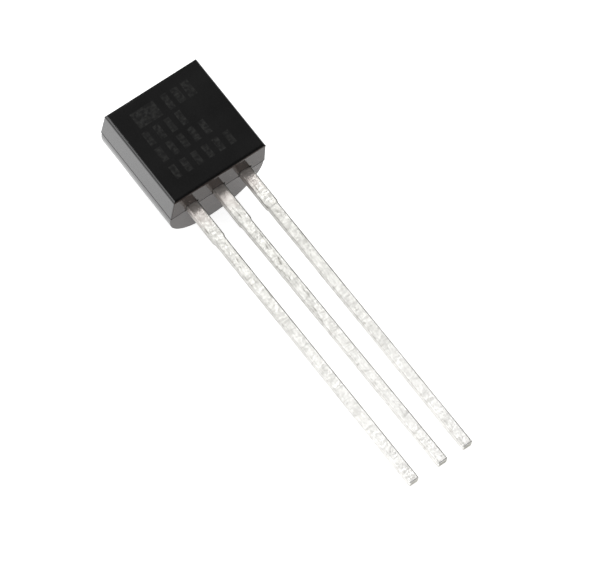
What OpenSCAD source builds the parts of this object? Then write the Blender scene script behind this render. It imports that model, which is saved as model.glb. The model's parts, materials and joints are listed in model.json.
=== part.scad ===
// Three-lead temperature sensor in a moulded transistor-style package.
// It lies as it comes to rest: flat face up, on the lead-end edge of its round
// back and on the tips of its leads.  +Z is up, the leads point along -Y, and
// the origin is at the middle of the base of the bounding box.
//
// Each piece is drawn upright first: X across the leads, Y from the flat face
// (0) to the round back, Z from the lead end of the flat face (0) to the top.

/* [Moulded body] */
// Width of the flat marking face
face_w = 4.38; // [3.6:0.02:4.6]
// Height of the flat marking face
face_h = 4.5; // [4.2:0.02:5.2]
// Depth from the flat face to the parting plane
front_depth = 1.36; // [1.2:0.02:1.8]
// Draft of the two long sides of the front half, in degrees
side_draft = 3; // [2:0.5:8]
// Draft of the ends of the front half, in degrees
end_draft = 1.5; // [0.5:0.5:4]
// Draft of the ends of the rear half, in degrees
rear_draft = 2; // [1:0.5:6]
// Radius round the edges of the flat face
edge_r = 0.14; // [0.04:0.01:0.2]
// Radius of the round back
back_r = 2.24; // [2:0.02:2.4]
// Distance from the parting plane to the axis of the round back
back_axis = 0.2; // [0:0.01:0.3]
// Step of the rear half inside the front half at both ends
parting_step = 0.02; // [0.01:0.01:0.06]

/* [Gate mark] */
// Width of the broken-off moulding gate on the top end
gate_w = 0.9; // [0.5:0.05:1.4]
// Thickness of the gate mark
gate_t = 0.22; // [0.12:0.02:0.4]
// Height of the gate mark above the top end
gate_h = 0.05; // [0.02:0.01:0.1]

/* [Leads] */
// Spacing of the leads
pitch = 1.27; // [1.2:0.01:1.35]
// Thickness of the lead frame strip
lead_t = 0.38; // [0.3:0.01:0.45]
// Depth by which the lead frame strip is let into the rear half
lead_sink = 0.08; // [0:0.01:0.12]
// Width of a lead
lead_w = 0.45; // [0.38:0.01:0.5]
// Width of a lead between the body and the cut tie bar
root_w = 0.53; // [0.5:0.01:0.6]
// Length of that wider root
root_len = 1.75; // [1.2:0.05:2.2]
// Length of the shoulder that narrows the root to the lead
shoulder_len = 0.1; // [0.05:0.01:0.2]
// Length of a lead from the lead end of the flat face to its tip
lead_len = 14; // [12.7:0.1:15]
// Sideways lean of the supply lead at its tip
lean_supply = 0.05; // [-0.2:0.01:0.2]
// Sideways lean of the output lead at its tip
lean_output = 0.15; // [-0.2:0.01:0.2]
// Sideways lean of the ground lead at its tip
lean_ground = 0.07; // [-0.2:0.01:0.2]

/* [Lead frame inside the body] */
// Height at which the necks open into their pads
neck_h = 0.85; // [0.7:0.05:1]
// Radius of the notches that lock each neck in the moulding
lock_r = 0.09; // [0.06:0.01:0.12]
// Width of the supply lead's bond pad
post_w = 0.95; // [0.8:0.05:1]
// Height of the supply lead's bond pad
post_h = 1.7; // [1.2:0.05:2]
// Height of the output lead's bond pad
output_post_h = 0.7; // [0.6:0.05:0.8]
// Gap between the stamped pieces of the lead frame
frame_gap = 0.3; // [0.25:0.01:0.34]
// Height of the die paddle
paddle_h = 1.9; // [1.8:0.05:2.1]

/* [Die and bond wires] */
// Width of the silicon die
die_w = 1.05; // [0.8:0.05:1.1]
// Height of the silicon die
die_h = 1.3; // [1:0.05:1.4]
// Thickness of the silicon die
die_t = 0.25; // [0.15:0.01:0.3]
// Distance of the die from the paddle's free edge
die_edge = 0.2; // [0.15:0.01:0.3]
// Thickness of the die-attach adhesive
glue_t = 0.03; // [0.02:0.005:0.05]
// Width of the adhesive that shows round the die
glue_rim = 0.08; // [0.04:0.01:0.12]
// Diameter of the bond wires
wire_d = 0.03; // [0.025:0.001:0.04]
// Height of the wire loops above the die
loop_h = 0.16; // [0.1:0.01:0.22]
// Diameter of the ball bonds on the die
ball_d = 0.09; // [0.07:0.005:0.11]
// Height of the ball bonds
ball_h = 0.03; // [0.02:0.005:0.04]
// Distance of the ball bonds from the edges of the die
ball_inset = 0.14; // [0.1:0.01:0.2]
// Distance of the wire stitches from the edges of their pads
stitch_inset = 0.35; // [0.25:0.01:0.4]

/* [Hidden] */
$fn = 96;

// moulded body; the rear half's ends start a small step inside the front half's
side_flare = front_depth * tan(side_draft);
end_flare = front_depth * tan(end_draft);
body_w = face_w + 2 * side_flare;
axis_y = front_depth + back_axis;
back_y = axis_y + back_r;
rear_depth = back_y - front_depth;
rear_flare = rear_depth * tan(rear_draft);
rear_z0 = parting_step - end_flare;
rear_z1 = face_h - rear_z0;
back_z0 = rear_z0 + rear_flare;
back_z1 = rear_z1 - rear_flare;
// room by which a trimming prism passes what it trims
over = 1;

// leads: front and rear face of the strip, which crosses the parting plane
lead_back_y = front_depth + lead_sink;
lead_y = lead_back_y - lead_t;
supply_x = -pitch;
output_x = 0;
ground_x = pitch;

// lead frame inside the body, from the supply pad across to the ground lead
post_x1 = supply_x + root_w / 2;
paddle_x0 = post_x1 + frame_gap;
paddle_x1 = ground_x + root_w / 2;
output_post_x1 = ground_x - root_w / 2 - frame_gap;
post_z1 = neck_h + post_h;
output_post_z1 = neck_h + output_post_h;
paddle_z0 = output_post_z1 + frame_gap;
paddle_z1 = paddle_z0 + paddle_h;

// die and adhesive, stacked on the paddle towards the flat face
die_x0 = paddle_x0 + die_edge;
die_x1 = die_x0 + die_w;
die_z0 = paddle_z0 + (paddle_h - die_h) / 2;
glue_y = lead_y - glue_t;
die_y = glue_y - die_t;

// resting pose: the line from the lead tips to the lead-end edge of the round
// back comes level
rest_tilt = atan2(back_y - lead_back_y, lead_len + back_z0);
base_z = back_z0 * sin(rest_tilt) - back_y * cos(rest_tilt);
tips_end = lead_y * sin(rest_tilt) - lead_len * cos(rest_tilt);
body_end = back_y * sin(rest_tilt) + back_z1 * cos(rest_tilt);

// Turns a piece from upright to the way that the sensor lies
module lay() {
    translate([0, -(tips_end + body_end) / 2, -base_z])
        rotate([rest_tilt - 90, 0, 0])
            children();
}

// Section of the front half between x0 and x1: y runs from the flat face to
// the parting plane.  The sides flare by the draft angle, and a round of
// edge_r is tangent to the face and to each side.
module front_section(x0, x1, draft) {
    flare = front_depth * tan(draft);
    inset = edge_r * tan((90 - draft) / 2);
    reach = edge_r * cos(draft) - inset;
    side_y = edge_r - edge_r * sin(draft);
    polygon([
        [x0 + inset, 0],
        [x1 - inset, 0],
        [x1 + reach, side_y],
        [x1 + flare, front_depth],
        [x0 - flare, front_depth],
        [x0 - reach, side_y]
    ]);
    for (x = [x0 + inset, x1 - inset])
        translate([x, edge_r])
            circle(r = edge_r);
}

// Carries a section drawn as (z, y) right across the body
module sweep_across() {
    rotate([0, -90, 0])
        linear_extrude(body_w + 2 * over, center = true)
            children();
}

// Carries a section drawn as (x, y) up the body, past both of its ends
module sweep_up() {
    translate([0, 0, -over])
        linear_extrude(face_h + 2 * over)
            children();
}

// Front half: a frustum whose small end is the flat marking face
module front_half() {
    intersection() {
        sweep_up()
            front_section(-face_w / 2, face_w / 2, side_draft);
        sweep_across()
            front_section(0, face_h, end_draft);
    }
}

// Rear half: the round back, its ends drafted away from the parting plane
module rear_half() {
    intersection() {
        sweep_up()
            intersection() {
                translate([0, axis_y])
                    circle(r = back_r);
                translate([-body_w / 2, front_depth])
                    square([body_w, rear_depth]);
            }
        sweep_across()
            polygon([
                [rear_z0, front_depth],
                [rear_z1, front_depth],
                [back_z1, back_y],
                [back_z0, back_y]
            ]);
    }
}

// Stub of moulding compound where the gate broke off, behind the parting plane
module gate_mark() {
    translate([-gate_w / 2, front_depth, face_h / 2])
        cube([gate_w, gate_t, rear_z1 + gate_h - face_h / 2]);
}

// Everything that the compound is moulded round
module inserts() {
    supply_strip();
    output_strip();
    ground_strip();
    glue_layer();
    die_block();
    supply_wire();
    output_wire();
    ground_wire();
}

module package_body() {
    color([0.11, 0.11, 0.115])
        lay()
            difference() {
                union() {
                    front_half();
                    rear_half();
                    gate_mark();
                }
                inserts();
            }
}

// Outline of one lead about its own middle, from the tip up to the height top,
// with its wider root and the two round notches in its neck
module lead_outline(lean, top) {
    difference() {
        polygon([
            [lean - lead_w / 2, -lead_len],
            [lean + lead_w / 2, -lead_len],
            [lead_w / 2, -root_len - shoulder_len],
            [root_w / 2, -root_len],
            [root_w / 2, top],
            [-root_w / 2, top],
            [-root_w / 2, -root_len],
            [-lead_w / 2, -root_len - shoulder_len]
        ]);
        for (side = [-1, 1])
            translate([side * root_w / 2, neck_h / 2])
                circle(r = lock_r);
    }
}

// Stamps an outline drawn as (x, z) out of the lead frame strip
module stamp() {
    translate([0, lead_back_y, 0])
        rotate([90, 0, 0])
            linear_extrude(lead_t)
                children();
}

module supply_strip() {
    stamp() {
        translate([supply_x, 0])
            lead_outline(lean_supply, post_z1);
        translate([post_x1 - post_w, neck_h])
            square([post_w, post_h]);
    }
}

module output_strip() {
    stamp() {
        translate([output_x, 0])
            lead_outline(lean_output, output_post_z1);
        translate([paddle_x0, neck_h])
            square([output_post_x1 - paddle_x0, output_post_h]);
    }
}

// The ground lead runs up past the output pad and carries the die paddle
module ground_strip() {
    stamp() {
        translate([ground_x, 0])
            lead_outline(lean_ground, paddle_z1);
        translate([paddle_x0, paddle_z0])
            square([paddle_x1 - paddle_x0, paddle_h]);
    }
}

module lead_supply() {
    color([0.8, 0.79, 0.77])
        lay()
            supply_strip();
}

module lead_output() {
    color([0.8, 0.79, 0.77])
        lay()
            output_strip();
}

module lead_ground() {
    color([0.8, 0.79, 0.77])
        lay()
            ground_strip();
}

module glue_layer() {
    translate([die_x0 - glue_rim, glue_y, die_z0 - glue_rim])
        cube([die_w + 2 * glue_rim, glue_t, die_h + 2 * glue_rim]);
}

module die_block() {
    translate([die_x0, die_y, die_z0])
        cube([die_w, die_t, die_h]);
}

module die_attach() {
    color([0.62, 0.62, 0.6])
        lay()
            glue_layer();
}

module sensor_die() {
    color([0.35, 0.37, 0.45])
        lay()
            die_block();
}

// Bond wire from a ball on the die at [x, z] = start to a stitch on the lead
// frame at [x, z] = end.  Rings of eight points follow a loop that leaves the
// ball upright, clears the edge of the die and lands on the strip, where the
// last ring lies flat on the metal.
module bond_wire(start, end) {
    sides = 8;
    steps = 14;
    stitch = 1.5;
    span = norm(end - start);
    along = [end[0] - start[0], 0, end[1] - start[1]] / span;
    up = [0, -1, 0];
    across = cross(along, up);
    foot = [start[0], lead_y, start[1]];
    ball_top = lead_y - die_y + ball_h / 2;
    function height(t) = ball_top * (1 - t * t) + loop_h * sin(180 * pow(t, 0.6));
    function centre(t) = foot + along * span * t + up * height(t);
    function share(i) = pow(i / steps, 1.5);
    function rise(i) = height(share(i + 1)) - height(share(i - 1));
    function advance(i) = span * (share(i + 1) - share(i - 1));
    function out(i) =
        i == 0 ? -along
        : i == steps ? along * stitch
        : (up * advance(i) - along * rise(i)) / norm([advance(i), rise(i)]);
    rings = [
        for (i = [0:steps], k = [0:sides - 1])
            let (turn = 360 * k / sides)
                centre(share(i)) + wire_d / 2 * (out(i) * cos(turn) + across * sin(turn))
    ];
    walls = [
        for (i = [0:steps - 1], k = [0:sides - 1])
            let (a = i * sides, b = a + sides, n = (k + 1) % sides)
                each [[a + k, b + k, b + n], [a + k, b + n, a + n]]
    ];
    first = [for (k = [0:sides - 1]) k];
    last = [for (k = [sides - 1:-1:0]) steps * sides + k];
    polyhedron(rings, concat(walls, [first, last]));
    translate([start[0], die_y, start[1]])
        rotate([90, 0, 0])
            cylinder(d = ball_d, h = ball_h);
}

module supply_wire() {
    bond_wire([die_x0 + ball_inset, die_z0 + die_h / 3],
              [post_x1 - stitch_inset, post_z1 - stitch_inset]);
}

module output_wire() {
    bond_wire([die_x0 + die_w / 2, die_z0 + ball_inset],
              [die_x0 + die_w / 2, output_post_z1 - stitch_inset]);
}

// The down bond ties the die's ground pad to the paddle beside it
module ground_wire() {
    bond_wire([die_x1 - ball_inset, die_z0 + die_h / 2],
              [paddle_x1 - stitch_inset, die_z0 + die_h / 2]);
}

module bond_wire_supply() {
    color([0.9, 0.72, 0.3])
        lay()
            supply_wire();
}

module bond_wire_output() {
    color([0.9, 0.72, 0.3])
        lay()
            output_wire();
}

module bond_wire_ground() {
    color([0.9, 0.72, 0.3])
        lay()
            ground_wire();
}

package_body();
lead_supply();
lead_output();
lead_ground();
sensor_die();
die_attach();
bond_wire_supply();
bond_wire_output();
bond_wire_ground();
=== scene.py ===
import json
from math import cos, pi, radians, sin, tan

import bpy
from mathutils import Matrix, Vector


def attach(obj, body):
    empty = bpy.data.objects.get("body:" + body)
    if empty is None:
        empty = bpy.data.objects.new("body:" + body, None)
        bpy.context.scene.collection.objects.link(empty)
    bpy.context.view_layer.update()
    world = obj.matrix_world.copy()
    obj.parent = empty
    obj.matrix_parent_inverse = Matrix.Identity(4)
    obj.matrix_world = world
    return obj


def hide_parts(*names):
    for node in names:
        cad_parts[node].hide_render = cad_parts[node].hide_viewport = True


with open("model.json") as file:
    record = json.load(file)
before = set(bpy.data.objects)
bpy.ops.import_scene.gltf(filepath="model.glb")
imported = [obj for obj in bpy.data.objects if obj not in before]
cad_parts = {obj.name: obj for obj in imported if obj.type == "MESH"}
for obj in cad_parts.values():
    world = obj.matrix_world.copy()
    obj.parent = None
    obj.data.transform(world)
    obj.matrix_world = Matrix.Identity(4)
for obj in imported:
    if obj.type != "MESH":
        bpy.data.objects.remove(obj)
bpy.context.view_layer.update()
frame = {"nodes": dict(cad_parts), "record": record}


# ---------------------------------------------------------------------------
# Lead frame: three strips stamped from one sheet of copper alloy and plated
# with tin.  Each has a bare lead, a wider root left where the tie bar was cut
# off, a neck with two notches that lock it in the moulding, and a bond pad.
# ---------------------------------------------------------------------------

# Sizes in millimetres.  Every piece is drawn upright: X across the leads, Y
# from the flat face (0) to the round back, Z from the lead end of the flat
# face (0) to the top.
front_depth = 1.36
lead_pitch = 1.27
lead_t = 0.38
lead_sink = 0.08
lead_w = 0.45
root_w = 0.53
root_len = 1.75
shoulder_len = 0.1
lead_len = 14.0
# How far each lead leans sideways by the time it reaches its tip
supply_lean = 0.05
output_lean = 0.15
ground_lean = 0.07
neck_h = 0.85
lock_r = 0.09
post_w = 0.95
post_h = 1.7
output_post_h = 0.7
frame_gap = 0.3
paddle_h = 1.9
face_h = 4.5
# The tumbled and plated edges of the strip are rounded
lead_round = 0.07
# The share of a side that the punch cuts before the rest tears
cut_share = 0.68
# Waves that handling leaves in the strip: how deep, and how far apart
lead_wave = 0.004
lead_wave_span = 0.6
# Slices along the narrow part of a lead and along its root, so that they can wave
shank_steps = 60
root_steps = 8

lead_y = front_depth + lead_sink - lead_t
strip_mid_y = lead_y + lead_t / 2
break_y = lead_y + cut_share * lead_t
supply_x = -lead_pitch
output_x = 0.0
ground_x = lead_pitch
post_x1 = supply_x + root_w / 2
paddle_x0 = post_x1 + frame_gap
output_post_x1 = ground_x - root_w / 2 - frame_gap
post_z1 = neck_h + post_h
output_post_z1 = neck_h + output_post_h
paddle_z0 = output_post_z1 + frame_gap

# The sensor lies flat face up.  The mount on that face says where it is and
# how far it tips.
MM = 0.001
sensing_face = next(m for m in frame["record"]["mounts"] if m["name"] == "sensing_face")
lay = (Matrix.Translation(sensing_face["pos_m"])
       @ Vector(sensing_face["axis"]).to_track_quat("Z", "Y").to_matrix().to_4x4()
       @ Matrix.Rotation(-pi / 2, 4, "X")
       @ Matrix.Scale(MM, 4)
       @ Matrix.Translation((0, 0, -face_h / 2)))
rest_turn = lay.to_euler().x


def linear(hex_colour):
    """An sRGB hex colour as the linear RGBA that Blender's sockets take."""
    shares = [int(hex_colour[i:i + 2], 16) / 255 for i in (1, 3, 5)]
    return [s / 12.92 if s <= 0.04045 else ((s + 0.055) / 1.055) ** 2.4 for s in shares] + [1.0]


def add_node(tree, kind, inputs, **settings):
    """Adds a node with its settings.  Each input, by name or number, is given
    a plain value, or the node or socket to link it to."""
    made = tree.nodes.new(kind)
    for key, value in settings.items():
        setattr(made, key, value)
    for key, value in inputs.items():
        number = key if isinstance(key, int) else next(
            i for i, s in enumerate(made.inputs) if s.name == key and s.enabled)
        if isinstance(value, bpy.types.Node):
            value = next(s for s in value.outputs if s.enabled)
        if isinstance(value, bpy.types.NodeSocket):
            tree.links.new(value, made.inputs[number])
        else:
            made.inputs[number].default_value = value
    return made


def start_material(name):
    """A new material, its node tree, and upright millimetres to draw patterns in."""
    material = bpy.data.materials.new(name)
    material.use_nodes = True
    tree = material.node_tree
    tree.nodes.clear()
    place = add_node(tree, "ShaderNodeTexCoord", {}).outputs["Object"]
    upright = add_node(tree, "ShaderNodeMapping", {
        "Vector": place, "Location": lay.inverted().to_translation(),
        "Rotation": (-rest_turn, 0, 0), "Scale": (1 / MM, 1 / MM, 1 / MM)})
    return material, tree, upright


def to_objects():
    """Leaves edit mode, if a piece is being edited."""
    if bpy.context.object and bpy.context.object.mode == "EDIT":
        bpy.ops.object.mode_set(mode="OBJECT")


def pick_only(piece):
    """Makes a piece the only one that is selected."""
    to_objects()
    bpy.ops.object.select_all(action="DESELECT")
    piece.select_set(True)
    bpy.context.view_layer.objects.active = piece


def clear_picks(piece, kind):
    """Deselects all of a piece's faces or edges, so that code can select some."""
    pick_only(piece)
    bpy.ops.object.mode_set(mode="EDIT")
    bpy.ops.mesh.select_mode(type=kind)
    bpy.ops.mesh.select_all(action="DESELECT")
    bpy.ops.object.mode_set(mode="OBJECT")


def edit_faces(piece, test):
    """Opens a piece with only the faces selected whose middle and normal pass a test."""
    clear_picks(piece, "FACE")
    for face in piece.data.polygons:
        face.select = test(face.center, face.normal)
    bpy.ops.object.mode_set(mode="EDIT")


def edit_edges(piece, test):
    """Opens a piece with only the edges selected whose two ends pass a test."""
    clear_picks(piece, "EDGE")
    for edge in piece.data.edges:
        edge.select = test(*(piece.data.vertices[v].co for v in edge.vertices))
    bpy.ops.object.mode_set(mode="EDIT")


def use_modifier(piece, kind, **settings):
    """Adds a modifier and applies it."""
    to_objects()
    bpy.context.view_layer.objects.active = piece
    modifier = piece.modifiers.new(kind.title(), kind)
    for key, value in settings.items():
        setattr(modifier, key, value)
    bpy.ops.object.modifier_apply(modifier=modifier.name)


def add_block(name, low, high):
    """A box between two corners, to be shaped."""
    to_objects()
    bpy.ops.object.select_all(action="DESELECT")
    bpy.ops.mesh.primitive_cube_add(size=1, location=[(a + b) / 2 for a, b in zip(low, high)],
                                    scale=[b - a for a, b in zip(low, high)])
    bpy.context.object.name = name
    bpy.ops.object.transform_apply(location=True, rotation=True, scale=True)
    return bpy.context.object


def join_or_cut(piece, kind, tool):
    """Joins a second shape to a piece, or cuts it out, and removes the second shape."""
    use_modifier(piece, "BOOLEAN", operation=kind, solver="EXACT", object=tool)
    bpy.data.objects.remove(tool)


def lay_down(piece, smooth_to):
    """Smooths a finished piece up to an angle in degrees, and brings it from
    upright millimetres to where it lies."""
    pick_only(piece)
    bpy.ops.object.shade_smooth_by_angle(angle=radians(smooth_to))
    use_modifier(piece, "WEIGHTED_NORMAL", keep_sharp=True, weight=100)
    piece.matrix_world = lay
    bpy.ops.object.transform_apply(location=True, rotation=True, scale=True)


# Electroplated matt tin on stamped copper alloy.  To the eye: a pale silvery
# metal, a little soft in its reflections, clouded by greyer smears, crossed by
# rubs, and scuffed along its length where it slid against other parts.
tin, tree, upright = start_material("matt_tin_plate")
# Draw lines are 0.01 mm wide on the real strip, drawn 0.03 mm wide to show
stretched = add_node(tree, "ShaderNodeMapping", {"Vector": upright, "Scale": (30, 30, 0.9)})
draw_lines = add_node(tree, "ShaderNodeTexNoise", {"Vector": stretched, "Scale": 1.0, "Detail": 1.0})
# Rubs cross the lead at a slant, 0.1 mm wide and up to a lead's width long
slanted = add_node(tree, "ShaderNodeMapping", {
    "Vector": upright, "Rotation": (0, 0.35, 0), "Scale": (2.5, 2.5, 8)})
rubs = add_node(tree, "ShaderNodeTexNoise", {"Vector": slanted, "Scale": 1.0, "Detail": 2.0})
# Scuffs run along the lead, 0.06 mm wide and 0.4 mm long
lengthwise = add_node(tree, "ShaderNodeMapping", {
    "Vector": upright, "Rotation": (0, 0.12, 0), "Scale": (11, 11, 1.9)})
scuffs = add_node(tree, "ShaderNodeTexNoise", {"Vector": lengthwise, "Scale": 1.0, "Detail": 2.0})
smears = add_node(tree, "ShaderNodeTexNoise", {
    "Vector": upright, "Scale": 5.0, "Detail": 6.0, "Distortion": 1.0})
dents = add_node(tree, "ShaderNodeTexNoise", {"Vector": upright, "Scale": 13.0, "Detail": 3.0})
smeared = add_node(tree, "ShaderNodeMapRange", {"Value": smears, "From Min": 0.44, "From Max": 0.6})
colour = add_node(tree, "ShaderNodeMix", {
    "Factor": smeared, "A": linear("#F9F8F5"), "B": linear("#E9E8E5")}, data_type="RGBA")
lined = add_node(tree, "ShaderNodeMapRange", {
    "Value": draw_lines, "From Min": 0.5, "From Max": 0.65, "To Max": 0.3})
colour = add_node(tree, "ShaderNodeMix", {
    "Factor": lined, "A": colour, "B": linear("#C6C5BF")}, data_type="RGBA")
rubbed = add_node(tree, "ShaderNodeMapRange", {
    "Value": rubs, "From Min": 0.56, "From Max": 0.64, "To Max": 0.4})
colour = add_node(tree, "ShaderNodeMix", {
    "Factor": rubbed, "A": colour, "B": linear("#BEBCB7")}, data_type="RGBA")
scuffed = add_node(tree, "ShaderNodeMapRange", {
    "Value": scuffs, "From Min": 0.62, "From Max": 0.7, "To Max": 0.7})
# The leads are gripped near the body, so they are scuffed less further out
reach = add_node(tree, "ShaderNodeSeparateXYZ", {"Vector": upright}).outputs["Z"]
gripped = add_node(tree, "ShaderNodeMapRange", {
    "Value": reach, "From Min": -9.0, "From Max": -4.0, "To Min": 0.3})
scuffed = add_node(tree, "ShaderNodeMath", {0: scuffed, 1: gripped}, operation="MULTIPLY")
colour = add_node(tree, "ShaderNodeMix", {
    "Factor": scuffed, "A": colour, "B": linear("#8B8982")}, data_type="RGBA")
# Painted shade: the plating is greyed near the body, less and less towards the tip, which is lit more
painted_shade_to_body = add_node(tree, "ShaderNodeMapRange", {
    "Value": reach, "From Min": -13.0, "From Max": -3.0})
colour = add_node(tree, "ShaderNodeMix", {
    "Factor": painted_shade_to_body, "A": colour, "B": linear("#DEDEDC")}, data_type="RGBA", blend_type="MULTIPLY")
# Painted shade and reflection of the dark body: a brownish grey on the plating next to
# the body, which ends raggedly, 0.9 mm away from it on the whole
ragged = add_node(tree, "ShaderNodeMapRange", {"Value": smears, "To Min": -0.6, "To Max": 0.6})
ragged_reach = add_node(tree, "ShaderNodeMath", {0: reach, 1: ragged}, operation="ADD")
painted_root_shade = add_node(tree, "ShaderNodeMapRange", {
    "Value": ragged_reach, "From Min": -1.3, "From Max": -0.5, "To Max": 0.7})
colour = add_node(tree, "ShaderNodeMix", {
    "Factor": painted_root_shade, "A": colour, "B": linear("#C9C0BB")}, data_type="RGBA")
dull = add_node(tree, "ShaderNodeMapRange", {
    "Value": smears, "From Min": 0.35, "From Max": 0.65, "To Min": 0.28, "To Max": 0.44})
waves = add_node(tree, "ShaderNodeBump", {"Height": smears, "Distance": 0.006 * MM})
waves = add_node(tree, "ShaderNodeBump", {"Height": dents, "Distance": 0.005 * MM, "Normal": waves})
waves = add_node(tree, "ShaderNodeBump", {"Height": rubs, "Distance": 0.003 * MM, "Normal": waves})
scored = add_node(tree, "ShaderNodeBump", {
    "Height": draw_lines, "Distance": 0.001 * MM, "Normal": waves})
surface = add_node(tree, "ShaderNodeBsdfPrincipled", {
    "Base Color": colour, "Metallic": 1.0, "Roughness": dull, "Normal": scored})
add_node(tree, "ShaderNodeOutputMaterial", {"Surface": surface})

# The lower third of each side, where the punch tore the strip off instead of
# cutting it: thin plating, grey in some stretches and bright in others.  The
# right front edge of each lead takes this greyer finish too, as painted shade.
edge_tin, tree, upright = start_material("thin_tin_torn_sides_and_painted_edge_shade")
stretched = add_node(tree, "ShaderNodeMapping", {"Vector": upright, "Scale": (4, 4, 1.3)})
patches = add_node(tree, "ShaderNodeTexNoise", {"Vector": stretched, "Scale": 1.0, "Detail": 4.0})
nicks = add_node(tree, "ShaderNodeTexNoise", {"Vector": upright, "Scale": 9.0, "Detail": 2.0})
bare = add_node(tree, "ShaderNodeMapRange", {"Value": patches, "From Min": 0.4, "From Max": 0.6})
colour = add_node(tree, "ShaderNodeMix", {
    "Factor": bare, "A": linear("#DCDCD8"), "B": linear("#A3A19C")}, data_type="RGBA")
nicked = add_node(tree, "ShaderNodeMapRange", {
    "Value": nicks, "From Min": 0.58, "From Max": 0.68, "To Max": 0.6})
colour = add_node(tree, "ShaderNodeMix", {
    "Factor": nicked, "A": colour, "B": linear("#77736C")}, data_type="RGBA")
# Further out, where nothing grips the leads, the edges keep more of their tin
reach = add_node(tree, "ShaderNodeSeparateXYZ", {"Vector": upright}).outputs["Z"]
gripped = add_node(tree, "ShaderNodeMapRange", {
    "Value": reach, "From Min": -9.0, "From Max": -4.0, "To Min": 0.5})
colour = add_node(tree, "ShaderNodeMix", {
    "Factor": gripped, "A": linear("#F4F3F0"), "B": colour}, data_type="RGBA")
dull = add_node(tree, "ShaderNodeMapRange", {"Value": nicks, "To Min": 0.25, "To Max": 0.5})
dented = add_node(tree, "ShaderNodeBump", {"Height": nicks, "Distance": 0.01 * MM})
surface = add_node(tree, "ShaderNodeBsdfPrincipled", {
    "Base Color": colour, "Metallic": 1.0, "Roughness": dull, "Normal": dented})
add_node(tree, "ShaderNodeOutputMaterial", {"Surface": surface})

# Cut end of a lead: the shear drags tin over the alloy core and leaves fine
# lines through the strip's thickness.  Greyer and rougher than the plated faces.
sheared, tree, upright = start_material("sheared_lead_end")
stretched = add_node(tree, "ShaderNodeMapping", {"Vector": upright, "Scale": (26, 3, 3)})
shear_lines = add_node(tree, "ShaderNodeTexNoise", {"Vector": stretched, "Scale": 1.0, "Detail": 2.0})
core = add_node(tree, "ShaderNodeTexNoise", {"Vector": upright, "Scale": 3.0, "Detail": 2.0})
bare = add_node(tree, "ShaderNodeMapRange", {"Value": core, "From Min": 0.35, "From Max": 0.65})
colour = add_node(tree, "ShaderNodeMix", {
    "Factor": bare, "A": linear("#C6C4BC"), "B": linear("#A9A89F")}, data_type="RGBA")
dull = add_node(tree, "ShaderNodeMapRange", {
    "Value": shear_lines, "From Min": 0.3, "From Max": 0.7, "To Min": 0.35, "To Max": 0.5})
torn = add_node(tree, "ShaderNodeBump", {"Height": shear_lines, "Distance": 0.004 * MM})
surface = add_node(tree, "ShaderNodeBsdfPrincipled", {
    "Base Color": colour, "Metallic": 1.0, "Roughness": dull, "Normal": torn})
add_node(tree, "ShaderNodeOutputMaterial", {"Surface": surface})

# Soft cloud pattern that says where the strip is dented
wave_pattern = bpy.data.textures.new("lead_waves", "CLOUDS")
wave_pattern.noise_scale = lead_wave_span


def stamp_strip(name, x, lean, top):
    """One strip from its sheared tip up to the height top: a bar that widens at
    the shoulder.  Its lead leans sideways, by lean at the tip."""
    shank_top = -root_len - shoulder_len
    step = (lead_len + shank_top) / shank_steps
    drift = -lean / shank_steps
    strip = add_block(name, (x + lean - lead_w / 2, lead_y, -lead_len),
                      (x + lean + lead_w / 2, lead_y + lead_t, step - lead_len))
    edit_faces(strip, lambda middle, normal: normal.z > 0.9)
    bpy.ops.transform.translate(value=(drift, 0, 0))
    for _ in range(shank_steps - 1):
        bpy.ops.mesh.extrude_region_move(TRANSFORM_OT_translate={"value": (drift, 0, step)})
    bpy.ops.mesh.extrude_region_move(TRANSFORM_OT_translate={"value": (0, 0, shoulder_len)})
    bpy.ops.transform.resize(value=(root_w / lead_w, 1, 1),
                             center_override=(x, strip_mid_y, -root_len))
    stops = [-root_len * part / root_steps for part in range(root_steps, -1, -1)] + [neck_h, top]
    for start, end in zip(stops, stops[1:]):
        bpy.ops.mesh.extrude_region_move(TRANSFORM_OT_translate={"value": (0, 0, end - start)})
    return strip


def widen_pad(strip, side, reach, low):
    """Pulls one side of the strip out to reach, above the height low."""
    edit_faces(strip, lambda middle, normal: normal.x * side > 0.9 and middle.z > low)
    edge = side * max(v.co.x * side for v in strip.data.vertices if v.co.z > low)
    bpy.ops.mesh.extrude_region_move(TRANSFORM_OT_translate={"value": (reach - edge, 0, 0)})


def dress_strip(strip, x, node):
    """Rounds a strip's edges, punches the notches in its neck, waves it, gives it
    its finishes and lays it down."""
    use_modifier(strip, "BEVEL", width=lead_round, segments=3, angle_limit=radians(40))
    # A cut along the sides, where the punch stopped cutting and the metal tore
    pick_only(strip)
    bpy.ops.object.mode_set(mode="EDIT")
    bpy.ops.mesh.select_all(action="SELECT")
    bpy.ops.mesh.bisect(plane_co=(0, break_y, 0), plane_no=(0, 1, 0))
    for side in (-1, 1):
        to_objects()
        bpy.ops.mesh.primitive_cylinder_add(
            vertices=32, radius=lock_r, depth=2 * lead_t, rotation=(pi / 2, 0, 0),
            location=(x + side * root_w / 2, strip_mid_y, neck_h / 2))
        join_or_cut(strip, "DIFFERENCE", bpy.context.object)
    use_modifier(strip, "DISPLACE", texture=wave_pattern, texture_coords="LOCAL",
                 strength=lead_wave, mid_level=1.0)
    finishes = [tin, edge_tin, sheared]
    for finish in finishes:
        strip.data.materials.append(finish)
    for face in strip.data.polygons:
        middle, normal = face.center, face.normal
        cut_end = normal.z < -0.8 and middle.z < lead_round - lead_len
        torn_side = abs(normal.x) > 0.2 and middle.y > break_y
        # The right front edge gets the greyer edge finish as painted shade
        right_edge_painted_shade = normal.x > 0.2 and normal.y < -0.2
        if cut_end:
            face.material_index = finishes.index(sheared)
        elif torn_side or right_edge_painted_shade:
            face.material_index = finishes.index(edge_tin)
    lay_down(strip, smooth_to=40)
    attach(strip, "root")
    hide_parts(node)


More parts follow.
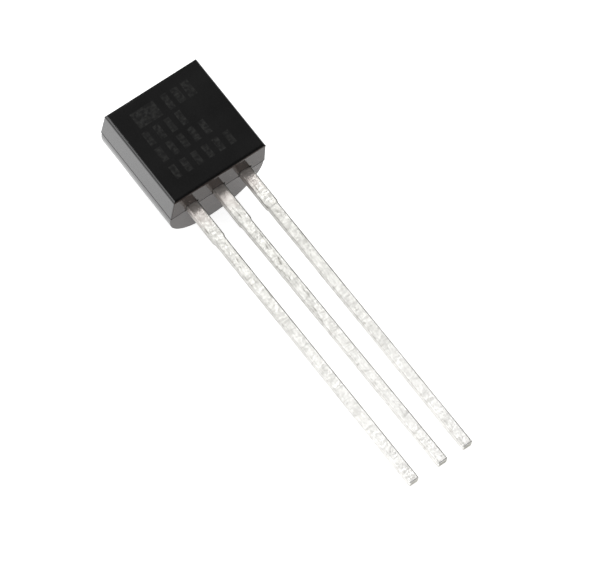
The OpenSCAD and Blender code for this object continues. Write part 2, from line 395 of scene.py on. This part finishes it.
# Supply lead: its pad takes one bond wire
supply_strip = stamp_strip("tinned_supply_lead", supply_x, supply_lean, post_z1)
widen_pad(supply_strip, -1, post_x1 - post_w, neck_h)
dress_strip(supply_strip, supply_x, "lead_supply")

# Output lead: a short wide pad between the two others
output_strip = stamp_strip("tinned_output_lead", output_x, output_lean, output_post_z1)
widen_pad(output_strip, -1, paddle_x0, neck_h)
widen_pad(output_strip, 1, output_post_x1, neck_h)
dress_strip(output_strip, output_x, "lead_output")

# Ground lead: runs up past the output pad and carries the die paddle
ground_strip = stamp_strip("tinned_ground_lead", ground_x, ground_lean, paddle_z0)
bpy.ops.mesh.extrude_region_move(TRANSFORM_OT_translate={"value": (0, 0, paddle_h)})
widen_pad(ground_strip, -1, paddle_x0, paddle_z0)
dress_strip(ground_strip, ground_x, "lead_ground")


# ---------------------------------------------------------------------------
# Die, adhesive and bond wires: a silicon chip glued to the paddle with
# silver-filled epoxy, and three gold wires, ball bonded to the chip and
# stitched to the strips.  The moulding hides them, so they keep their solids.
# ---------------------------------------------------------------------------

# Polished silicon with its circuit on the front: dark blue-grey, crossed by
# paler metal tracks.
silicon, tree, upright = start_material("patterned_silicon")
# Real tracks are 0.002 mm wide, drawn 0.02 mm wide to show
facing = add_node(tree, "ShaderNodeMapping", {"Vector": upright, "Rotation": (pi / 2, 0, 0)})
tracks = add_node(tree, "ShaderNodeTexBrick", {
    "Vector": facing, "Color1": linear("#3E4560"), "Color2": linear("#585E78"),
    "Mortar": linear("#A9A68F"), "Scale": 1.0, "Mortar Size": 0.02, "Brick Width": 0.22,
    "Row Height": 0.11})
polish = add_node(tree, "ShaderNodeTexNoise", {"Vector": upright, "Scale": 18.0})
gloss = add_node(tree, "ShaderNodeMapRange", {
    "Value": polish, "From Min": 0.3, "From Max": 0.7, "To Min": 0.08, "To Max": 0.16})
relief = add_node(tree, "ShaderNodeBump", {
    "Height": tracks.outputs["Fac"], "Distance": 0.001 * MM})
surface = add_node(tree, "ShaderNodeBsdfPrincipled", {
    "Base Color": tracks, "Metallic": 0.3, "IOR": 3.4, "Roughness": gloss, "Normal": relief})
add_node(tree, "ShaderNodeOutputMaterial", {"Surface": surface})

# Silver-filled epoxy: flat pale grey paste with bright flakes 0.03 mm across.
silver_epoxy, tree, upright = start_material("silver_filled_epoxy")
flakes = add_node(tree, "ShaderNodeTexVoronoi", {"Vector": upright, "Scale": 35.0})
colour = add_node(tree, "ShaderNodeMix", {
    "Factor": flakes, "A": linear("#CFCECA"), "B": linear("#8F8E8A")}, data_type="RGBA")
dull = add_node(tree, "ShaderNodeMapRange", {"Value": flakes, "To Min": 0.35, "To Max": 0.8})
grit = add_node(tree, "ShaderNodeBump", {"Height": flakes, "Distance": 0.003 * MM})
surface = add_node(tree, "ShaderNodeBsdfPrincipled", {
    "Base Color": colour, "Metallic": 0.4, "Roughness": dull, "Normal": grit})
add_node(tree, "ShaderNodeOutputMaterial", {"Surface": surface})

# Drawn gold wire: bright warm yellow, faintly lined by the drawing die.
gold_wire, tree, upright = start_material("drawn_gold_wire")
wire_lines = add_node(tree, "ShaderNodeTexNoise", {"Vector": upright, "Scale": 60.0})
colour = add_node(tree, "ShaderNodeMix", {
    "Factor": wire_lines, "A": linear("#EBC565"), "B": linear("#D6A23C")}, data_type="RGBA")
dull = add_node(tree, "ShaderNodeMapRange", {"Value": wire_lines, "To Min": 0.1, "To Max": 0.26})
scored = add_node(tree, "ShaderNodeBump", {"Height": wire_lines, "Distance": 0.0005 * MM})
surface = add_node(tree, "ShaderNodeBsdfPrincipled", {
    "Base Color": colour, "Metallic": 1.0, "Roughness": dull, "Normal": scored})
add_node(tree, "ShaderNodeOutputMaterial", {"Surface": surface})

frame["nodes"]["sensor_die"].material_slots[0].material = silicon
frame["nodes"]["die_attach"].material_slots[0].material = silver_epoxy
for wire in ("bond_wire_supply", "bond_wire_output", "bond_wire_ground"):
    frame["nodes"][wire].material_slots[0].material = gold_wire


# ---------------------------------------------------------------------------
# Moulded body: silica-filled black epoxy, moulded in one shot round the lead
# frame.  The front half drafts in to the flat face, the rear half is round,
# and its ends stand a hair inside the front half's at the parting line.
# ---------------------------------------------------------------------------

face_w = 4.38
side_draft = radians(3)
end_draft = radians(1.5)
rear_draft = radians(2)
back_r = 2.24
back_axis = 0.2
parting_step = 0.02
# Rounds: round the flat face, down its corners, and round the ends of the back
edge_r = 0.14
corner_r = 0.05
back_edge_r = 0.04
# Strip along the parting line where the flash was trimmed off
flash_w = 0.05
# Hairline between each lead and the compound that shrank away from it
hairline = 0.035
hairline_depth = 0.1
# Broken gate on the top end: its width, its depth and how far it stands out
gate_w = 0.9
gate_t = 0.22
gate_h = 0.05

body_w = face_w + 2 * front_depth * tan(side_draft)
end_flare = front_depth * tan(end_draft)
axis_y = front_depth + back_axis
rear_z0 = parting_step - end_flare
rear_z1 = face_h - rear_z0
middle_z = face_h / 2
# The rear half is cut from a bar this much longer at each end
bar_spare = 0.5
# The tool that cuts a hairline starts this far outside the body
tool_spare = 1.0
# Places closer than this count as the same place
touch = 0.001
# The ends of the back are nearly level: no edge round them rises more than this
level_rise = 0.05

# Front half: a block whose rear side is spread by the draft.  Its corners and
# the rim of its flat face are rounded, and a cut marks off the trimmed strip.
body = add_block("moulded_body", (-face_w / 2, 0, 0), (face_w / 2, front_depth, face_h))
edit_faces(body, lambda middle, normal: normal.y > 0.9)
bpy.ops.transform.resize(value=(body_w / face_w, 1, 1 + 2 * end_flare / face_h),
                         center_override=(0, front_depth, middle_z))
edit_edges(body, lambda a, b: max(a.y, b.y) < touch)
bpy.ops.mesh.bevel(offset=edge_r * tan((pi / 2 - end_draft) / 2), segments=8, affect="EDGES")
edit_edges(body, lambda a, b: abs(a.y - b.y) > front_depth / 2)
bpy.ops.mesh.bevel(offset=corner_r, segments=4, affect="EDGES")
bpy.ops.mesh.select_all(action="SELECT")
bpy.ops.mesh.bisect(plane_co=(0, front_depth - flash_w, 0), plane_no=(0, 1, 0))

# Rear half: a round bar cut flat at the parting plane and tapered at both ends
to_objects()
bpy.ops.mesh.primitive_circle_add(vertices=192, radius=back_r, fill_type="NGON",
                                  location=(0, axis_y, rear_z0 - bar_spare))
rear = bpy.context.object
bpy.ops.object.transform_apply(location=True, rotation=True, scale=True)
bpy.ops.object.mode_set(mode="EDIT")
bpy.ops.mesh.select_all(action="SELECT")
bpy.ops.mesh.bisect(plane_co=(0, front_depth, 0), plane_no=(0, 1, 0), clear_inner=True)
bpy.ops.mesh.select_all(action="SELECT")
bpy.ops.mesh.extrude_region_move(
    TRANSFORM_OT_translate={"value": (0, 0, rear_z1 - rear_z0 + 2 * bar_spare)})
for end_z, side in ((rear_z0, -1), (rear_z1, 1)):
    bpy.ops.mesh.select_all(action="SELECT")
    bpy.ops.mesh.bisect(plane_co=(0, front_depth, end_z),
                        plane_no=(0, sin(rear_draft), side * cos(rear_draft)),
                        clear_outer=True, use_fill=True)
bpy.ops.mesh.select_all(action="SELECT")
bpy.ops.mesh.normals_make_consistent(inside=False)
edit_edges(rear, lambda a, b: min(a.y, b.y) > front_depth + touch
           and abs(a.z - b.z) < level_rise and abs(a.z - middle_z) > middle_z / 2)
bpy.ops.mesh.bevel(offset=back_edge_r, segments=4, affect="EDGES")
to_objects()
join_or_cut(body, "UNION", rear)

# Gate: the stub that stays where the moulding was broken from its runner
gate = add_block("gate", (-gate_w / 2, front_depth, middle_z),
                 (gate_w / 2, front_depth + gate_t, rear_z1 + gate_h))
join_or_cut(body, "UNION", gate)

# Hairline round each lead
for x in (supply_x, output_x, ground_x):
    gap = add_block("gap", (x - root_w / 2 - hairline, lead_y - hairline, -tool_spare),
                    (x + root_w / 2 + hairline, lead_y + lead_t + hairline, hairline_depth))
    join_or_cut(body, "DIFFERENCE", gap)

# Silica-filled epoxy from a polished mould: near black, with a resin-rich skin
# that mirrors at a low angle, a fine grain, and faint flow clouds.
epoxy, tree, upright = start_material("moulded_black_epoxy")
# Filler grains are 0.02 mm across, drawn 0.07 mm across to show
grain = add_node(tree, "ShaderNodeTexNoise", {"Vector": upright, "Scale": 14.0, "Detail": 2.0})
flow = add_node(tree, "ShaderNodeTexNoise", {"Vector": upright, "Scale": 0.8, "Detail": 3.0})
colour = add_node(tree, "ShaderNodeMix", {
    "Factor": grain, "A": linear("#161617"), "B": linear("#202021")}, data_type="RGBA")
clouded = add_node(tree, "ShaderNodeMapRange", {
    "Value": flow, "From Min": 0.4, "From Max": 0.7, "To Max": 0.4})
colour = add_node(tree, "ShaderNodeMix", {
    "Factor": clouded, "A": colour, "B": linear("#282828")}, data_type="RGBA")
satin = add_node(tree, "ShaderNodeMapRange", {
    "Value": flow, "From Min": 0.3, "From Max": 0.7, "To Min": 0.2, "To Max": 0.26})
pebbled = add_node(tree, "ShaderNodeBump", {"Height": grain, "Distance": 0.0005 * MM})
surface = add_node(tree, "ShaderNodeBsdfPrincipled", {
    "Base Color": colour, "IOR": 1.5, "Roughness": satin, "Normal": pebbled,
    "Coat Weight": 0.54, "Coat IOR": 1.6, "Coat Roughness": 0.12, "Coat Normal": pebbled})
add_node(tree, "ShaderNodeOutputMaterial", {"Surface": surface})

# The two ends have the same epoxy without the resin-rich skin, so they mirror
# less.  The lead end is browned as a painted warm reflection of the shaded table, and the warm
# specular tint stands in for the same.
end_epoxy, tree, upright = start_material("moulded_black_epoxy_end")
grain = add_node(tree, "ShaderNodeTexNoise", {"Vector": upright, "Scale": 14.0, "Detail": 2.0})
flow = add_node(tree, "ShaderNodeTexNoise", {"Vector": upright, "Scale": 1.1, "Detail": 3.0})
colour = add_node(tree, "ShaderNodeMix", {
    "Factor": grain, "A": linear("#19191A"), "B": linear("#222222")}, data_type="RGBA")
reach = add_node(tree, "ShaderNodeSeparateXYZ", {"Vector": upright}).outputs["Z"]
lead_end = add_node(tree, "ShaderNodeMapRange", {
    "Value": reach, "From Min": 0.5, "From Max": 1.0, "To Min": 1.0, "To Max": 0.0})
# Brown painted in as a warm reflection of the shaded table at the lead end
painted_warm_reflection = add_node(tree, "ShaderNodeMath", {0: lead_end, 1: 0.6}, operation="MULTIPLY")
colour = add_node(tree, "ShaderNodeMix", {
    "Factor": painted_warm_reflection, "A": colour, "B": linear("#352118")}, data_type="RGBA")
satin = add_node(tree, "ShaderNodeMapRange", {
    "Value": flow, "From Min": 0.3, "From Max": 0.7, "To Min": 0.12, "To Max": 0.18})
# Crumbs of flash, 0.1 mm across, that stuck where the leads came out
crumbs = add_node(tree, "ShaderNodeTexNoise", {"Vector": upright, "Scale": 6.0, "Detail": 1.0})
crumbled = add_node(tree, "ShaderNodeMapRange", {
    "Value": crumbs, "From Min": 0.7, "From Max": 0.74, "To Max": 0.7})
crumbled = add_node(tree, "ShaderNodeMath", {0: crumbled, 1: lead_end}, operation="MULTIPLY")
colour = add_node(tree, "ShaderNodeMix", {
    "Factor": crumbled, "A": colour, "B": linear("#8A837B")}, data_type="RGBA")
pebbled = add_node(tree, "ShaderNodeBump", {"Height": grain, "Distance": 0.0006 * MM})
surface = add_node(tree, "ShaderNodeBsdfPrincipled", {
    "Base Color": colour, "IOR": 1.5, "Specular IOR Level": 0.36,
    "Specular Tint": linear("#FFF1E6"), "Roughness": satin, "Normal": pebbled})
add_node(tree, "ShaderNodeOutputMaterial", {"Surface": surface})

# The flat face comes from a matt insert in the mould, so that the marking
# shows: the same epoxy, with hardly any shine and a soft mottle.
face_epoxy, tree, upright = start_material("matt_marking_face")
grain = add_node(tree, "ShaderNodeTexNoise", {"Vector": upright, "Scale": 12.0, "Detail": 2.0})
mottle = add_node(tree, "ShaderNodeTexNoise", {"Vector": upright, "Scale": 0.7, "Detail": 3.0})
mottled = add_node(tree, "ShaderNodeMapRange", {"Value": mottle, "From Min": 0.35, "From Max": 0.65})
colour = add_node(tree, "ShaderNodeMix", {
    "Factor": mottled, "A": linear("#0A0A0A"), "B": linear("#131313")}, data_type="RGBA")
specks = add_node(tree, "ShaderNodeMapRange", {
    "Value": grain, "From Min": 0.45, "From Max": 0.75, "To Max": 0.5})
colour = add_node(tree, "ShaderNodeMix", {
    "Factor": specks, "A": colour, "B": linear("#1A1A1A")}, data_type="RGBA")
matt = add_node(tree, "ShaderNodeMapRange", {
    "Value": grain, "From Min": 0.3, "From Max": 0.7, "To Min": 0.4, "To Max": 0.52})
pebbled = add_node(tree, "ShaderNodeBump", {"Height": grain, "Distance": 0.001 * MM})
surface = add_node(tree, "ShaderNodeBsdfPrincipled", {
    "Base Color": colour, "IOR": 1.5, "Specular IOR Level": 0.08, "Roughness": matt,
    "Normal": pebbled})
add_node(tree, "ShaderNodeOutputMaterial", {"Surface": surface})

# Broken epoxy, where flash and gate were trimmed: dull, dark and gritty.
broken_epoxy, tree, upright = start_material("broken_black_epoxy")
grit = add_node(tree, "ShaderNodeTexNoise", {"Vector": upright, "Scale": 9.0, "Detail": 4.0})
colour = add_node(tree, "ShaderNodeMix", {
    "Factor": grit, "A": linear("#141414"), "B": linear("#3A3938")}, data_type="RGBA")
dull = add_node(tree, "ShaderNodeMapRange", {"Value": grit, "To Min": 0.6, "To Max": 0.95})
torn = add_node(tree, "ShaderNodeBump", {"Height": grit, "Distance": 0.02 * MM})
surface = add_node(tree, "ShaderNodeBsdfPrincipled", {
    "Base Color": colour, "IOR": 1.5, "Specular IOR Level": 0.2, "Roughness": dull,
    "Normal": torn})
add_node(tree, "ShaderNodeOutputMaterial", {"Surface": surface})

# Laser marking: the beam scorches the skin off the epoxy in close lines, which
# leaves a paler, rougher grey a few thousandths of a millimetre deep.
laser_mark, tree, upright = start_material("laser_scorched_epoxy")
# Scan lines are 0.03 mm apart, drawn 0.07 mm apart to show
stretched = add_node(tree, "ShaderNodeMapping", {"Vector": upright, "Scale": (2, 2, 14)})
scan_lines = add_node(tree, "ShaderNodeTexNoise", {"Vector": stretched, "Scale": 1.0, "Detail": 1.0})
scorch = add_node(tree, "ShaderNodeTexNoise", {"Vector": upright, "Scale": 7.0, "Detail": 3.0})
burnt = add_node(tree, "ShaderNodeMapRange", {"Value": scorch, "From Min": 0.38, "From Max": 0.62})
colour = add_node(tree, "ShaderNodeMix", {
    "Factor": burnt, "A": linear("#101010"), "B": linear("#2E2E2D")}, data_type="RGBA")
missed = add_node(tree, "ShaderNodeMapRange", {
    "Value": scan_lines, "From Min": 0.5, "From Max": 0.6, "To Max": 0.5})
colour = add_node(tree, "ShaderNodeMix", {
    "Factor": missed, "A": colour, "B": linear("#151515")}, data_type="RGBA")
dull = add_node(tree, "ShaderNodeMapRange", {"Value": scorch, "To Min": 0.5, "To Max": 0.9})
furrows = add_node(tree, "ShaderNodeBump", {"Height": scan_lines, "Distance": 0.002 * MM})
surface = add_node(tree, "ShaderNodeBsdfPrincipled", {
    "Base Color": colour, "IOR": 1.5, "Specular IOR Level": 0.15, "Roughness": dull,
    "Normal": furrows})
add_node(tree, "ShaderNodeOutputMaterial", {"Surface": surface})

# Plain bars stand for the marking.  Each row: its foot, its height, and the
# left edge and width of each bar.
mark_depth = 0.004
mark_slope = 0.012
bar_w = 0.27
bar_pitch = 0.515
bars_x0 = -1.49
mark_rows = [
    (3.26, 0.72, [(bars_x0 + 0.1, 1.1), (0.04, bar_w), (0.5, 0.34), (0.98, 0.36)]),
    (2.44, 0.64, [(bars_x0 + bar_pitch * i, bar_w) for i in range(4)]),
    (1.62, 0.64, [(bars_x0 + bar_pitch * i, bar_w) for i in range(5)]),
    (0.76, 0.6, [(bars_x0 + bar_pitch * i, bar_w) for i in range(6)]),
]


def on_flat(middle, normal):
    """Whether a face is part of the flat face."""
    return normal.y < -0.999 and middle.y < touch


def cut_face(place, across, test):
    """Cuts the faces that pass a test along the line through a place."""
    edit_faces(body, test)
    bpy.ops.mesh.bisect(plane_co=place, plane_no=across)


for foot, height, bars in mark_rows:
    for z in (foot, foot + height):
        cut_face((0, 0, z), (0, 0, 1), on_flat)
    for left, width in bars:
        for x in (left, left + width):
            cut_face((x, 0, 0), (1, 0, 0), lambda middle, normal:
                     on_flat(middle, normal) and foot < middle.z < foot + height)


def on_mark(middle):
    """Whether a place is within a bar of the marking."""
    return any(foot < middle.z < foot + height and left < middle.x < left + width
               for foot, height, bars in mark_rows for left, width in bars)


edit_faces(body, lambda middle, normal: on_flat(middle, normal) and on_mark(middle))
bpy.ops.mesh.inset(thickness=mark_slope, depth=-mark_depth, use_individual=True)
to_objects()

finishes = [epoxy, end_epoxy, face_epoxy, broken_epoxy, laser_mark]
for finish in finishes:
    body.data.materials.append(finish)
for face in body.data.polygons:
    middle, normal = face.center, face.normal
    sunk = mark_depth / 2 < middle.y < 2 * mark_depth and on_mark(middle)
    trimmed = front_depth - flash_w < middle.y < front_depth + touch
    broken_gate = middle.z > rear_z1 + 2 * touch and middle.y > front_depth - touch
    # The matt insert reaches further down the rim at the two ends than at the sides
    insert_edge = -0.6 if abs(normal.z) > abs(normal.x) else -0.9
    if normal.y < -0.7 and sunk:
        face.material_index = finishes.index(laser_mark)
    elif trimmed or broken_gate:
        face.material_index = finishes.index(broken_epoxy)
    elif normal.y < insert_edge and middle.y < edge_r:
        face.material_index = finishes.index(face_epoxy)
    elif abs(normal.z) > 0.7:
        face.material_index = finishes.index(end_epoxy)

lay_down(body, smooth_to=32)
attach(body, "root")
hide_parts("package_body")


# ---------------------------------------------------------------------------
# Studio: a white table, a soft light high behind the sensor, a second one on
# the left, dim room light, and a long lens above the leads' left side.
# ---------------------------------------------------------------------------

# The table and the lights are in metres
table_size = 0.8
# Strength of the table's glow, for mirrors and for the camera
mirror_glow = 0.6
camera_glow = 0.83

to_objects()
bpy.ops.object.select_all(action="DESELECT")
bpy.ops.mesh.primitive_plane_add(size=table_size, location=(0, 0, 0))
floor = bpy.context.object
floor.name = "white_table"
table = bpy.data.materials.new("white_table")
table.use_nodes = True
tree = table.node_tree
tree.nodes.clear()
# The table is lit as the sensor is, and a glow that only the camera and mirrors
# see brings it up to white
rays = add_node(tree, "ShaderNodeLightPath", {})
mirrored = add_node(tree, "ShaderNodeMath", {
    0: rays.outputs["Is Glossy Ray"], 1: rays.outputs["Is Transmission Ray"]}, operation="MAXIMUM")
mirrored = add_node(tree, "ShaderNodeMath", {0: mirrored, 1: mirror_glow}, operation="MULTIPLY")
seen = add_node(tree, "ShaderNodeMath", {
    0: rays.outputs["Is Camera Ray"], 1: camera_glow}, operation="MULTIPLY")
strength = add_node(tree, "ShaderNodeMath", {0: seen, 1: mirrored}, operation="MAXIMUM")
glow = add_node(tree, "ShaderNodeEmission", {"Color": linear("#FFFFFF"), "Strength": strength})
paper = add_node(tree, "ShaderNodeBsdfDiffuse", {"Color": linear("#DADADA")})
both = add_node(tree, "ShaderNodeAddShader", {0: paper, 1: glow})
add_node(tree, "ShaderNodeOutputMaterial", {"Surface": both})
floor.data.materials.append(table)

# Room light: dim at the horizon, brighter overhead
world = bpy.data.worlds.new("soft_studio")
world.use_nodes = True
bpy.context.scene.world = world
tree = world.node_tree
tree.nodes.clear()
direction = add_node(tree, "ShaderNodeTexCoord", {}).outputs["Generated"]
height = add_node(tree, "ShaderNodeSeparateXYZ", {"Vector": direction}).outputs["Z"]
level = add_node(tree, "ShaderNodeMapRange", {
    "Value": height, "From Min": 0.1, "From Max": 0.95, "To Min": 0.12, "To Max": 0.5})
sky = add_node(tree, "ShaderNodeBackground", {"Color": linear("#FFFFFF"), "Strength": level})
add_node(tree, "ShaderNodeOutputWorld", {"Surface": sky})


def add_softbox(name, azimuth, elevation, away, size, power):
    """A square soft light that faces the sensor.  Azimuth turns from +Y towards
    -X, in degrees as elevation is, and power is in watts."""
    turn, rise = radians(azimuth), radians(elevation)
    towards = Vector((-sin(turn) * cos(rise), cos(turn) * cos(rise), sin(rise)))
    bpy.ops.object.light_add(type="AREA", location=towards * away)
    softbox = bpy.context.object
    softbox.name = name
    softbox.rotation_euler = towards.to_track_quat("Z", "Y").to_euler()
    softbox.data.shape = "SQUARE"
    softbox.data.size = size
    softbox.data.energy = power


add_softbox("left_softbox", azimuth=72, elevation=35, away=0.4, size=0.3, power=0.5)
add_softbox("back_softbox", azimuth=-14, elevation=59, away=0.5, size=0.34, power=1.22)

# Camera: what it aims at, how far off it stands, and a slight tilt of the frame
aim = Vector((0.437, -0.063, 1.0)) * MM
view_azimuth = radians(36.63)
view_elevation = radians(58.157)
view_distance = 199.56 * MM
view_roll = radians(-0.942)
bpy.ops.object.camera_add()
camera = bpy.context.object
towards = Vector((-sin(view_azimuth) * cos(view_elevation),
                  -cos(view_azimuth) * cos(view_elevation), sin(view_elevation)))
camera.matrix_world = (Matrix.Translation(aim + towards * view_distance)
                       @ towards.to_track_quat("Z", "Y").to_matrix().to_4x4()
                       @ Matrix.Rotation(view_roll, 4, "Z"))
camera.data.sensor_width = 36
camera.data.lens = 313.1
camera.data.clip_start = 0.01
bpy.context.scene.camera = camera
bpy.context.scene.view_settings.view_transform = "Standard"
